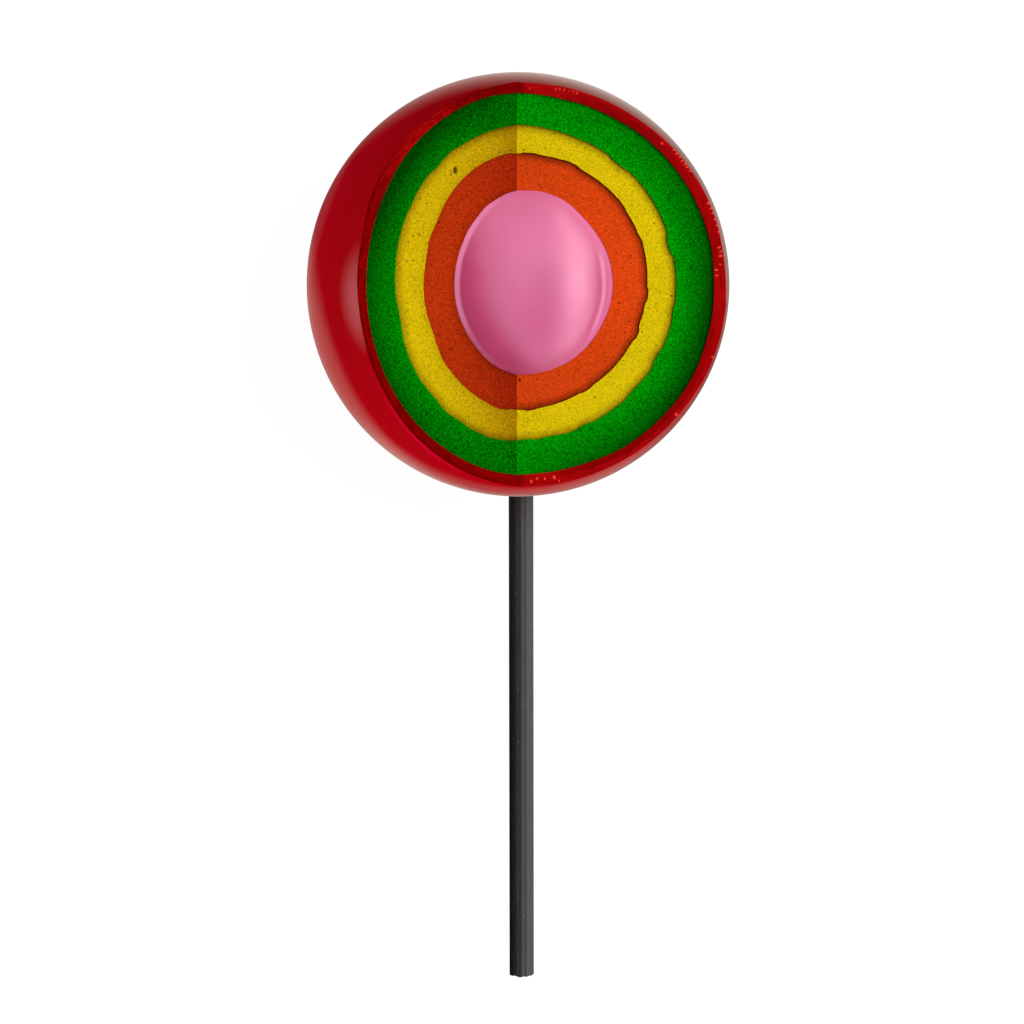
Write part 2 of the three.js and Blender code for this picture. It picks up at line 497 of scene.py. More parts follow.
def cut_wires(nodes, sizes, recess, turn):
    """The cut face's height and slopes, and the direction from the fold line at each column."""
    across = nodes.math("COSINE", turn)
    along = nodes.math("SINE", turn)
    left = nodes.math("TANGENT", nodes.input("Left Slope", sizes.left_slope))
    right = nodes.math("TANGENT", nodes.input("Right Slope", sizes.right_slope))
    on_left = across < 0
    return SimpleNamespace(
        across=across,
        along=along,
        fold_x=nodes.input("Fold", sizes.fold_x),
        height=nodes.input("Fold Height", sizes.fold_height) - nodes.input("Recess", recess),
        rise=across * (right - on_left * (left + right)),
        lean=on_left * (left + right) - right,
    )


def skin_wave(nodes, skin, cut, turn):
    """How far a skin stands off a true ball, round the view axis."""
    wave = nodes.math("MULTIPLY", turn, 0)
    for waves, depth, phase in skin.lobes:
        wave = wave + depth * nodes.math("COSINE", waves * turn - math.radians(phase))
    wave = wave + bump_wave(nodes, turn, skin.bumps)
    if skin.ragged:
        spot = nodes.vector(cut.across * skin.radius, cut.along * skin.radius, skin.seed)
        wave = wave + skin.ragged * (nodes.noise(spot, RAGGED_SIZE, detail=3, roughness=0.6) - 0.5)
    return wave


def bump_wave(nodes, turn, bumps):
    """The sum of single soft bumps at given places round the view axis."""
    wave = nodes.math("MULTIPLY", turn, 0)
    for degrees, half_width, height in bumps:
        edge = math.cos(math.radians(half_width))
        nearness = (nodes.math("COSINE", turn - math.radians(degrees)) - edge) / (1 - edge)
        wave = wave + height * nodes.smooth(nearness)
    return wave


def edge_reach(nodes, cut, skin, radius, wave):
    """How far a skin's edge on the cut face lies from the middle of the fold line."""
    side = cut.fold_x - skin.shift[0]

    def reach(distance):
        steep = 1 + cut.rise * cut.rise
        lean = side * cut.across - skin.shift[1] * cut.along + cut.height * cut.rise
        rest = side * side + skin.shift[1] ** 2 + cut.height * cut.height - distance * distance
        return (nodes.math("SQRT", lean * lean - steep * rest) - lean) / steep

    level = (cut.height + cut.rise * reach(radius)) / radius
    return reach(radius + wave * (1 - level * level))


def face_point(cut, reach):
    """A point of the cut face, as x, y and z from the ball's centre."""
    return cut.fold_x + reach * cut.across, reach * cut.along, cut.height + cut.rise * reach


def bowl_point(nodes, skin, radius, edge, progress):
    """A point on a skin, from its lowest point (progress 0) up to its edge (progress 1)."""
    x = edge[0] - skin.shift[0]
    y = edge[1] - skin.shift[1]
    flat = nodes.math("SQRT", x * x + y * y)
    distance = nodes.math("SQRT", flat * flat + edge[2] * edge[2])
    full = nodes.math("ARCTAN2", flat, -edge[2])
    polar = full * progress
    swing = nodes.math("SINE", polar)
    share = swing / nodes.math("SINE", full)
    reach = radius + (distance - radius) * share * share
    out = reach * swing / flat
    return (
        skin.shift[0] + out * x,
        skin.shift[1] + out * y,
        -reach * nodes.math("COSINE", polar),
    )


def row_parts(nodes, row, rows):
    """Which part of a layer a row lies on, and how far along that part it is."""
    bowl_rows, face_rows, outside_rows = rows
    face_end = bowl_rows + face_rows
    on_inside = (row + ROW_SLACK) < bowl_rows
    on_outside = (row - ROW_SLACK) > face_end
    return SimpleNamespace(
        up=nodes.clamp(row / bowl_rows),
        over=nodes.clamp((row - bowl_rows) / face_rows),
        down=nodes.clamp((row - face_end) / outside_rows),
        on_inside=on_inside,
        on_face=1 - on_inside - on_outside,
        on_outside=on_outside,
        before_outside=row < face_end,
    )


def layer_nodes(name, sizes, outer, inner, recess, rows, relief, material, drops=()):
    """A layer with an inner bowl, a cut face and an outer bowl, in that order of rows."""
    nodes = geometry_nodes(name)
    row_count = sum(rows)
    grid = nodes.add(
        "GeometryNodeMeshGrid",
        inputs={"Size X": 1, "Size Y": 1, "Vertices X": COLUMNS + 1, "Vertices Y": row_count + 1},
    )
    u, v, _ = nodes.split(nodes.add("GeometryNodeInputPosition"))
    turn = (u + 0.5) * (-2 * math.pi)
    part = row_parts(nodes, (v + 0.5) * row_count, rows)
    cut = cut_wires(nodes, sizes, recess, turn)
    outer_radius = nodes.input("Outer Radius", outer.radius)
    inner_radius = nodes.input("Inner Radius", inner.radius)
    drop = bump_wave(nodes, turn, drops)
    outer_cut = SimpleNamespace(**{**vars(cut), "height": cut.height - drop})
    outer_reach = edge_reach(nodes, outer_cut, outer, outer_radius, skin_wave(nodes, outer, cut, turn))
    inner_reach = edge_reach(nodes, cut, inner, inner_radius, skin_wave(nodes, inner, cut, turn))
    width = outer_reach - inner_reach
    edge_out = width * (1 - part.over)
    edge_in = width * part.over

    x, y, z = face_point(cut, inner_reach + edge_in)
    face = x, y, z - drop * part.over
    inside = bowl_point(nodes, inner, inner_radius, face_point(cut, inner_reach), part.up)
    outside = bowl_point(nodes, outer, outer_radius, face_point(outer_cut, outer_reach), 1 - part.down)
    height, marks = relief(nodes, nodes.vector(*face), edge_out, edge_in)
    scale = height * part.on_face / nodes.math("SQRT", 1 + cut.lean * cut.lean)
    spot = [
        part.on_inside * low + part.on_face * middle + part.on_outside * high + scale * way
        for low, middle, high, way in zip(inside, face, outside, (cut.lean, 0.0, 1.0))
    ]
    above_floor = nodes.math("MAXIMUM", spot[2] + nodes.input("Ball Height", BALL_HEIGHT), 0)

    mesh = store(nodes, grid, "edge_out", edge_out)
    mesh = store(nodes, mesh, "edge_in", edge_in)
    mesh = store(nodes, mesh, "below_edge", part.down * outer_radius * OUTSIDE_ARC)
    for title, value in marks.items():
        mesh = store(nodes, mesh, title, value * part.on_face)
    mesh = store(nodes, mesh, "cut_face", part.before_outside, domain="FACE")
    place = nodes.vector(spot[0], spot[1], above_floor)
    mesh = nodes.add("GeometryNodeSetPosition", inputs={"Geometry": mesh, "Position": place})
    finish_tree(nodes, mesh, material)
    return nodes


def rounded_edge(nodes, distance, width):
    """1 at an edge, and 0 from a given distance on"""
    left = nodes.clamp(1 - distance / width)
    return left * left


def bump_at(nodes, value, middle, half_width):
    """1 where a value is at a middle, and softly 0 away from it"""
    off = (value - middle) / half_width
    return nodes.math("EXPONENT", -off * off)


def spots(nodes, place, spacing, share):
    """How far a point is from the nearest spot's middle, as a share of that spot's reach."""
    cells = nodes.cells(place, spacing)
    size, chance, _ = nodes.split(cells.out("Color"))
    reach = (SPOT_LEAST + SPOT_SPREAD * size * size) * (chance < share)
    return cells / (reach + NO_SPOT)


def sugar_relief(look):
    """Grain, soft swells and pits on a sugar layer's cut face."""

    def relief(nodes, place, edge_out, edge_in):
        grain = nodes.noise(place, GRAIN_SIZE, detail=2) - 0.5
        swell = nodes.noise(place, SWELL_SIZE, detail=1) - 0.5
        pits = nodes.smooth(1 - spots(nodes, place, look.pit_spacing, look.pit_share))
        x, y, _ = nodes.split(place)
        for middle_x, middle_y, half_width, half_height in look.holes:
            across = (x - middle_x) / half_width
            along = (y - middle_y) / half_height
            hole = nodes.smooth(1.6 - across * across - along * along)
            pits = nodes.math("MAXIMUM", pits, hole)
        rounding = rounded_edge(nodes, edge_out, SUGAR_ROUNDING)
        height = grain * GRAIN_DEPTH + swell * SWELL_DEPTH - pits * PIT_DEPTH - rounding * SUGAR_DIP
        return height, {"pit": pits}

    return relief


def rim_relief(nodes, place, edge_out, edge_in):
    """Chips on the shell's glassy cut edge: small flat cells that lean at random."""
    cells = nodes.cells(place, CHIP_SIZE)
    lean_x, lean_y, _ = nodes.split(cells.out("Color"))
    x, y, _ = nodes.split(place)
    middle_x, middle_y, _ = nodes.split(cells.out("Position"))
    chips = (lean_x - 0.5) * (x - middle_x) + (lean_y - 0.5) * (y - middle_y)
    inside = nodes.smooth(edge_out / CHIP_MARGIN) * nodes.smooth(edge_in / CHIP_MARGIN)
    rounding = rounded_edge(nodes, edge_out, RIM_OUTER_ROUNDING)
    rounding = rounding + rounded_edge(nodes, edge_in, RIM_INNER_ROUNDING)
    return chips * inside * CHIP_TILT - rounding * RIM_DIP, {}


def lip_stand(sizes, x, z):
    """How far a point of the round centre stands above the orange layer's cut face."""
    left = math.tan(sizes.left_slope)
    right = math.tan(sizes.right_slope)
    side = x - sizes.fold_x
    rise = right - (side < 0) * (left + right)
    fold = BALL_HEIGHT + sizes.fold_height - sizes.orange_recess
    return z - (fold + side * rise)


def ball_nodes(sizes, material):
    """The round centre: a slightly uneven ball, with a groove above a low lip on its right."""
    nodes = geometry_nodes("round_centre")
    radius = nodes.input("Radius", sizes.centre_radius)
    ball = nodes.add(
        "GeometryNodeMeshUVSphere",
        inputs={"Segments": CENTRE_SEGMENTS, "Rings": CENTRE_RINGS, "Radius": radius},
    )
    place = nodes.add("GeometryNodeInputPosition")
    x, y, z = nodes.split(place)
    along = y / radius
    level = z / radius
    stand = lip_stand(sizes, x + CENTRE_PLACE.x, z + CENTRE_PLACE.z)
    right = nodes.smooth((x - 4 * MM) / (5 * MM)) * nodes.smooth(1 + stand / RIGHT_LIP)
    right = right * nodes.smooth(1.6 - 4 * along) * nodes.smooth(2.2 + 4 * along)
    groove_stand = GROOVE_STAND * (1 - 0.05 * along - 2.0 * along * along)
    groove = bump_at(nodes, stand, groove_stand, GROOVE_WIDTH) * right * GROOVE_DEPTH
    foot = 1 - 0.75 * nodes.smooth(stand / (3.5 * MM))
    turn = nodes.math("ARCTAN2", y, x)
    bumps = bump_wave(nodes, turn, CENTRE_BUMPS) * foot * (1 - level * level)
    swell = (nodes.noise(place, CENTRE_SWELL_SIZE, detail=1) - 0.5) * CENTRE_SWELL
    growth = 1 + (swell + bumps - groove - CENTRE_INSET) / radius
    spot = nodes.vector(*[part * growth + at for part, at in zip((x, y, z), CENTRE_PLACE)])
    mesh = nodes.add("GeometryNodeSetPosition", inputs={"Geometry": ball, "Position": spot})
    finish_tree(nodes, mesh, material)
    return nodes


def stick_line(nodes, radius):
    """The stick's middle line, whose own radius holds the waist, the swelling and the rounded ends."""
    start = Vector((STICK_X, STICK_HIGH.y, BALL_HEIGHT))
    reach = STICK_HIGH.y - STICK_LOW.y
    bevel = nodes.input("Bevel", STICK_BEVEL)
    line = nodes.add(
        "GeometryNodeCurvePrimitiveLine", inputs={"Start": start, "End": start - Vector((0, reach, 0))}
    )
    line = nodes.add("GeometryNodeResampleCurve", inputs={"Curve": line, "Count": STICK_STEPS})
    share = nodes.smooth(nodes.add("GeometryNodeSplineParameter"))
    lean = STICK_LEAN * (1 - share)
    spot = nodes.vector(STICK_X - lean, STICK_HIGH.y - share * reach, BALL_HEIGHT)
    line = nodes.add("GeometryNodeSetPosition", inputs={"Geometry": line, "Position": spot})
    end = nodes.math("MINIMUM", share, 1 - share) * reach
    inset = nodes.clamp(1 - end / bevel)
    rounding = (1 - nodes.math("SQRT", 1 - inset * inset)) * bevel / radius
    waist = WAIST_DEPTH * bump_at(nodes, share, WAIST_PLACE, WAIST_REACH)
    swelling = SWELLING_HEIGHT * nodes.smooth((share - SWELLING_START) / SWELLING_RUN)
    tight = 1 + swelling - waist - rounding
    return nodes.add("GeometryNodeSetCurveRadius", inputs={"Curve": line, "Radius": tight})


def stick_section(nodes, sizes, radius):
    """The stick's fluted outline"""
    depth = nodes.input("Flute Depth", sizes.flute_depth)
    points = sizes.flute_count * POINTS_PER_FLUTE
    circle = nodes.add("GeometryNodeCurvePrimitiveCircle", inputs={"Resolution": points, "Radius": 1})
    x, y, _ = nodes.split(nodes.add("GeometryNodeInputPosition"))
    turn = nodes.math("ARCTAN2", x, y)
    dip = 0.5 - 0.5 * nodes.math("COSINE", turn * sizes.flute_count)
    size = radius - depth * dip
    spot = nodes.vector(x * size, y * size, 0)
    return nodes.add("GeometryNodeSetPosition", inputs={"Geometry": circle, "Position": spot})


def stick_nodes(sizes, material):
    """The stick: a fluted section swept along a line, with an uneven cut end."""
    nodes = geometry_nodes("fluted_stick")
    radius = nodes.input("Radius", sizes.stick_radius)
    line = stick_line(nodes, radius)
    section = stick_section(nodes, sizes, radius)
    swept = nodes.add(
        "GeometryNodeCurveToMesh", inputs={"Curve": line, "Profile Curve": section, "Fill Caps": True}
    )
    x, y, z = nodes.split(nodes.add("GeometryNodeInputPosition"))
    near_end = nodes.smooth(1 - (y - STICK_LOW.y) / END_REACH)
    uneven = nodes.noise(nodes.vector(x, 0, z), END_GRAIN, detail=1)
    offset = nodes.vector(0, near_end * uneven * END_DEPTH, 0)
    cut = nodes.add("GeometryNodeSetPosition", inputs={"Geometry": swept, "Offset": offset})
    finish_tree(nodes, cut, material)
    return nodes


def made_piece(name, nodes):
    """Turns a geometry tree's result into a plain, closed mesh object."""
    piece = bpy.data.objects.new(name, bpy.data.meshes.new(name))
    bpy.context.scene.collection.objects.link(piece)
    modifier = piece.modifiers.new("shape", "NODES")
    modifier.node_group = nodes.tree
    for identifier, value in nodes.values.items():
        modifier[identifier] = value
    evaluated = piece.evaluated_get(bpy.context.evaluated_depsgraph_get())
    mesh = bpy.data.meshes.new_from_object(evaluated)
    piece.modifiers.remove(modifier)
    piece.data = mesh
    mesh.set_sharp_from_angle(angle=SHARP_ANGLE)
    check_closed(name, mesh)
    return piece


def check_closed(name, mesh):
    """Stops the script where a piece has an open edge or faces that point inwards."""
    shape = bmesh.new()
    shape.from_mesh(mesh)
    open_edges = sum(not edge.is_manifold for edge in shape.edges)
    volume = shape.calc_volume(signed=True)
    triangles = sum(len(face.verts) - 2 for face in shape.faces)
    shape.free()
    print(name, "triangles", triangles, "volume mm3", round(volume / MM**3))
    if open_edges or volume <= 0:
        raise RuntimeError(f"{name} has {open_edges} open edges and a volume of {volume}")


def dress(piece, node):
    """Puts a piece in its node's place on the lollipop."""
    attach(piece, "root")
    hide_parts(node)


# Materials

def material_nodes(name):
    material = bpy.data.materials.new(name)
    material.use_nodes = True
    material.node_tree.nodes.clear()
    return material, Nodes(material.node_tree)


def finish(nodes, settings):
    """One finish, with its constant and varying inputs."""
    return nodes.add("ShaderNodeBsdfPrincipled", inputs=settings)


def surface(nodes, shader):
    nodes.add("ShaderNodeOutputMaterial", inputs={"Surface": shader})


def mark(nodes, name):
    """A number that the mesh carries"""
    return nodes.add("ShaderNodeAttribute", {"attribute_name": name}, output="Fac")


def bump(nodes, height, distance, strength=1.0):
    inputs = {"Height": height, "Distance": distance, "Strength": strength}
    return nodes.add("ShaderNodeBump", inputs=inputs)


def object_place(nodes):
    return nodes.add("ShaderNodeTexCoord", output="Object")


@dataclass(frozen=True)
class SugarLook:
    """How a sugar layer's colour, painted shade and grain change over its cut face"""

    fade: object
    fold_tint: tuple
    fold_depth: float
    fold_reach: float
    left_tint: tuple
    contact: float
    grain: float
    pit_share: float
    pit_spacing: float
    speck_share: float
    holes: tuple = ()


def toward(nodes, x, y, degrees):
    """1 on the side of the ball that faces a direction round the view axis, 0 on the other side"""
    turn = nodes.math("ARCTAN2", y, x) - math.radians(degrees)
    return 0.5 + 0.5 * nodes.math("COSINE", turn)


def zones(nodes, x, y, places):
    """The sum of soft zones round the view axis, each as (degrees, narrowness, strength)"""
    total = 0.0
    for degrees, narrowness, strength in places:
        total = total + strength * toward(nodes, x, y, degrees) ** narrowness
    return total


def falloff(nodes, distance, reach):
    """1 at a distance of 0, dying away over a reach"""
    return nodes.math("EXPONENT", -distance / reach)


def fold_shading(nodes, sizes, look, x):
    """How much painted shade a sugar layer gets towards the fold line, much more on the left than on the
    right.
    """
    on_left = x < sizes.fold_x
    from_fold = nodes.math("ABSOLUTE", x - sizes.fold_x)
    left = on_left * falloff(nodes, from_fold, look.fold_reach)
    right = 0.12 * (1 - on_left) * falloff(nodes, from_fold, RIGHT_FOLD_REACH)
    return (left + right) * look.fold_depth


def sugar_tone(nodes, light, painted_shade, sizes, look, x, y, fold_shade):
    """A sugar layer's colour before its grain: painted shade near its outer edge and, mostly on the left,
    near the fold.
    """
    on_left = x < sizes.fold_x
    from_fold = nodes.math("ABSOLUTE", x - sizes.fold_x)
    edge_shade = nodes.clamp(look.fade(nodes, mark(nodes, "edge_out"), x, y))
    tone = nodes.mix(edge_shade, rgba(light), rgba(painted_shade))
    # Painted shade towards the fold
    tone = nodes.mix(fold_shade, tone, rgba(look.fold_tint), blend="MULTIPLY")
    # Painted shade low on the left, by the fold
    low_left = on_left * nodes.smooth(-y / (8 * MM)) * falloff(nodes, from_fold, LOW_LEFT_REACH)
    tone = nodes.mix(low_left, tone, rgba(LOW_LEFT_TINT), blend="MULTIPLY")
    # Painted shade on the left, most towards the top
    upper_left = on_left * nodes.smooth(0.5 + y / (24 * MM))
    return nodes.mix(upper_left, tone, rgba(look.left_tint), blend="MULTIPLY")


def contact_shade(nodes, sizes, look, x, y):
    """Painted shade on the left where a layer meets the next one in: a line along that edge, and a wider
    patch at the lower left.
    """
    edge_in = mark(nodes, "edge_in")
    line = nodes.clamp(1 - edge_in / CONTACT_REACH)
    under = 0.6 * toward(nodes, x, y, 252) ** 12 * falloff(nodes, edge_in, UNDER_REACH)
    return look.contact * (x < sizes.fold_x) * (line + under)


def sugar_material(name, light, painted_shade, sizes, look):
    """Matt, grained sugar with dark specks and painted shade in its pits."""
    material, nodes = material_nodes(name)
    place = object_place(nodes)
    x, y, _ = nodes.split(place)
    slant = {"Vector": place, "Rotation": (0, 0, GRAIN_SLANT), "Scale": (GRAIN_STRETCH, 1, 1)}
    slanted = nodes.add("ShaderNodeMapping", {"vector_type": "TEXTURE"}, slant)
    grain = nodes.noise(slanted, COLOUR_GRAIN, detail=1)
    mottle = nodes.noise(place, MOTTLE_SIZE, detail=2)
    fold_shade = fold_shading(nodes, sizes, look, x)
    tone = sugar_tone(nodes, light, painted_shade, sizes, look, x, y, fold_shade)

    grained = 1 + look.grain * (1 + 0.5 * fold_shade) * (grain - 0.5)
    shade = nodes.math("MAXIMUM", grained, 0.05) * (0.92 + 0.16 * mottle)
    shade = shade * (1 - 0.35 * nodes.smooth(9 * (0.31 - grain)))
    specks = nodes.smooth(2 - 2 * spots(nodes, place, SPECK_SPACING, look.speck_share))
    # Painted shade in the pits, and dark specks
    dark = nodes.math("MAXIMUM", mark(nodes, "pit"), specks)
    shade = shade * (1 - contact_shade(nodes, sizes, look, x, y)) * (1 - 0.8 * dark)
    surface(nodes, finish(nodes, {
        "Base Color": nodes.mix(1.0, tone, shade, blend="MULTIPLY"),
        "Roughness": 0.85,
        "Specular IOR Level": 0.0,
        "Normal": bump(nodes, grain, 0.05 * MM, 0.4),
    }))
    return material


def edge_ramp(nodes, edge):
    """The share of painted shade: 1 at a layer's outer edge, falling evenly to 0"""
    return nodes.clamp(1 - edge / EDGE_REACH)


def green_fade(nodes, edge, x, y):
    # Painted shade near the shell: on the right, eased off over the last stretch beside the shell, and in
    # zones on the left
    right = nodes.smooth(0.2 + x / (8 * MM)) * (0.1 + zones(nodes, x, y, GREEN_RIGHT_ZONES))
    right = right * (1 - 0.3 * nodes.clamp(1 - edge / GREEN_EDGE))
    left = 0.08 + zones(nodes, x, y, GREEN_LEFT_ZONES) * nodes.smooth(-x / (5 * MM))
    return (right + left) * nodes.clamp(1 - edge / GREEN_REACH)


def yellow_fade(nodes, edge, x, y):
    # Painted shade along the yellow's outer edge
    return edge_ramp(nodes, edge)


def orange_fade(nodes, edge, x, y):
    # Painted shade along the orange's outer edge, on the right and in zones on the left, and darker towards
    # its upper and lower right
    right = nodes.smooth(0.5 + x / (2 * MM))
    left = zones(nodes, x, y, ORANGE_LEFT_ZONES)
    dim = 0.16 * right * (1 - toward(nodes, x, y, 10) ** 6)
    return dim + edge_ramp(nodes, edge) * (right + (1 - right) * left)


SUGAR_LOOKS = {
    "green": SugarLook(
        fade=green_fade,
        fold_tint=(0.45, 0.45, 0.45),
        fold_depth=0.85,
        fold_reach=9 * MM,
        left_tint=(0.8, 0.8, 0.8),
        contact=0.0,
        grain=2.6,
        pit_share=0.3,
        pit_spacing=1.0 * MM,
        speck_share=0.2,
    ),
    "yellow": SugarLook(
        fade=yellow_fade,
        fold_tint=(0.46, 0.31, 0.55),
        fold_depth=0.82,
        fold_reach=9 * MM,
        left_tint=(0.94, 0.9, 0.96),
        contact=0.12,
        grain=1.15,
        pit_share=0.5,
        pit_spacing=0.9 * MM,
        speck_share=0.6,
        holes=((-8.25 * MM, 15.15 * MM, 0.25 * MM, 0.45 * MM),),
    ),
    "orange": SugarLook(
        fade=orange_fade,
        fold_tint=(0.44, 0.28, 0.4),
        fold_depth=1.0,
        fold_reach=25 * MM,
        left_tint=(1, 1, 1),
        contact=0.25,
        grain=1.25,
        pit_share=0.4,
        pit_spacing=0.9 * MM,
        speck_share=0.5,
        holes=((0.18 * MM, -12.6 * MM, 0.16 * MM, 0.16 * MM),),
    ),
}


def glints(nodes, x, y, edge_out):
    """Painted glints: bright, ragged spots on the shell's cut edge"""
    turn = nodes.math("ARCTAN2", y, x)
    ragged = nodes.noise(nodes.vector(x, y, edge_out), GLINT_GRAIN, detail=2, roughness=0.8)
    bright = 0.0
    for degrees, inward, size in GLINTS:
        facing = 0.5 + 0.5 * nodes.math("COSINE", turn - math.radians(degrees))
        chip = facing ** (GLINT_NARROWNESS / size ** 2)
        bright = bright + chip * bump_at(nodes, edge_out, inward * MM, size * GLINT_DEPTH)
    return nodes.smooth(5 * bright * ragged - 1.2)


def rim_painted_light(nodes, x, y):
    """How much painted light the cut edge gets: on the right, mostly in its outer half and along a few
    stretches.
    """
    outer_half = nodes.smooth((mark(nodes, "edge_in") - 0.6 * MM) / (0.5 * MM))
    lit = 0.15 + zones(nodes, x, y, RIM_PAINTED_LIGHT_ZONES)
    lit = lit + 0.5 * outer_half * (1 - toward(nodes, x, y, 10) ** 12)
    lit = lit + 0.65 * toward(nodes, x, y, 277) ** 250 * (1 - outer_half)
    on_right = nodes.smooth(x / MM - 0.2)
    return nodes.clamp(lit * on_right + 0.75 * toward(nodes, x, y, 129) ** 50)


def rim_colour(nodes, colours, place):
    """The shell's cut edge: painted light on its right and painted shade on its left, streaks along it, chips
    on its left painted lighter, and painted glints on its right.
    """
    x, y, _ = nodes.split(place)
    edge_out = mark(nodes, "edge_out")
    on_left = nodes.smooth(-x / (6 * MM))
    # Painted light and shade: lit on the right, shaded on the left
    tone = nodes.mix(rim_painted_light(nodes, x, y), rgba(colours.rim_painted_shade), rgba(colours.rim))
    tone = nodes.mix(0.3 * toward(nodes, x, y, 101) ** 150, tone, BLACK)
    outer_line = on_left * nodes.smooth(1 - edge_out / (0.45 * MM))
    tone = nodes.mix(0.25 * outer_line, tone, BLACK)
    streaks = nodes.noise(nodes.vector(0.2 * x, 0.2 * y, edge_out), STREAK_SIZE, detail=2)
    tone = nodes.mix(1.0, tone, 1 + (0.9 + 0.5 * on_left) * (streaks - 0.5), blend="MULTIPLY")
    blotches = nodes.noise(place, BLOTCH_SIZE, detail=2, roughness=0.7)
    tone = nodes.mix(on_left, tone, 1 + 1.3 * (blotches - 0.5), blend="MULTIPLY")
    # Chips on the left, painted lighter where they catch the light
    chipped = on_left * zones(nodes, x, y, RIM_CHIPPED_ZONES) * nodes.smooth(6 * blotches - 3)
    tone = nodes.mix(chipped, tone, rgba(colours.rim_chip))
    return nodes.mix(glints(nodes, x, y, edge_out), tone, rgba(colours.rim_glint)), streaks


def shell_material(colours):
    """Polished red sugar outside, with painted shade at its upper right and right, a painted highlight line
    and a painted glow at its lower left, and a chipped, glassy cut edge.
    """
    material, nodes = material_nodes("polished_red_sugar")
    place = object_place(nodes)
    x, y, z = nodes.split(place)
    # Painted shade: darker towards the upper right
    away = toward(nodes, x, y, 68) ** 1.3
    # Painted glow: emission low on the left of the shell, which is no lamp
    low = nodes.clamp(1 - (z - BALL_HEIGHT) / (0.55 * BALL_RADIUS))
    glow = nodes.mix(low * toward(nodes, x, y, 165), BLACK, rgba(colours.shell_painted_glow))
    clouds = nodes.noise(place, 22 * MM, detail=2)
    outside = nodes.mix(away, rgba(colours.shell), rgba(colours.shell_painted_shade))
    # Random clouds in the red, times painted shade on the right
    even = (0.94 + 0.12 * clouds) * (1 - 0.3 * toward(nodes, x, y, 20) ** 3)
    outside = nodes.mix(1.0, outside, even, blend="MULTIPLY")
    # Painted highlight: a bright line just below the rim at the lower left
    line = bump_at(nodes, mark(nodes, "below_edge"), LINE_DROP, LINE_WIDTH)
    line = line * toward(nodes, x, y, 236) ** 60
    line = line * (0.3 + 1.2 * nodes.noise(place, 0.9 * MM, detail=1))
    outside = nodes.mix(nodes.clamp(line), outside, rgba(colours.shell_painted_highlight))
    edge, streaks = rim_colour(nodes, colours, place)
    polished = finish(nodes, {
        "Base Color": outside,
        "Roughness": 0.07,
        "IOR": 1.5,
        "Emission Color": glow,
        "Emission Strength": 1.0,
    })
    broken = finish(nodes, {
        "Base Color": edge,
        "Roughness": 0.4,
        "Specular IOR Level": 0.0,
        "Normal": bump(nodes, streaks, 0.1 * MM, 0.4),
    })
    blend = nodes.add(
        "ShaderNodeMixShader", inputs={"Fac": mark(nodes, "cut_face"), 1: polished, 2: broken}
    )
    surface(nodes, blend)
    return material


def centre_zones(nodes, sizes, x, y, z):
    """Where the round centre gets painted light and shade or differs in colour, and the painted shade and
    light that even out how it is lit.
    """
    across = (x - CENTRE_PLACE.x) / CENTRE_RADIUS
    along = (y - CENTRE_PLACE.y) / CENTRE_RADIUS
    stand = lip_stand(sizes, x, z)
    left = nodes.smooth(-2.6 * across)
    right = nodes.smooth(3 * across - 0.5)
    right_half = nodes.smooth(4 * across + 0.2)
    # Painted highlight: a light line along the foot on the left, with painted shade just above it
    lip = left * (1 - nodes.smooth(0.5 + (stand - LEFT_HIGHLIGHT_HEIGHT) / (0.45 * MM)))
    beside_lip = left * bump_at(nodes, stand, LEFT_HIGHLIGHT_HEIGHT, 1.8 * MM) * nodes.smooth(1.7 - 3 * along)
    foot = right * (1 - nodes.smooth(1.4 * stand / RIGHT_LIP - 0.3))
    downward = along * nodes.math("ABSOLUTE", along) ** 0.65
    # Painted shade: darker towards the lower left
    painted_shade = nodes.smooth(-0.35 - 3.3 * across - 2.3 * downward)
    painted_shade = nodes.math("MAXIMUM", painted_shade, 0.85 * beside_lip)
    # Painted shade that dims the right side, less at the foot, and painted light towards the top, to even out
    # how it is lit
    dim = 0.07 + 0.15 * bump_at(nodes, along, -0.02, 0.3)
    even = 1 - nodes.smooth(3 * across + 0.05) * dim * (1 - 0.8 * foot)
    return SimpleNamespace(
        lip=lip * (1 - 0.6 * nodes.smooth(-4 * along - 1)),
        beside_lip=beside_lip,
        foot=foot,
        painted_shade=painted_shade * (1 - 0.4 * nodes.smooth(-7 * along - 4.6)),
        # Painted light on the right, fading towards the top
        painted_right_light=right_half * nodes.smooth(0.8 - 2.2 * along),
        low=right_half * nodes.smooth(-2.5 * along - 0.8),
        even=even + 0.08 * nodes.smooth(2 * along - 0.6) + 0.07 * bump_at(nodes, along, 0.4, 0.2),
    )


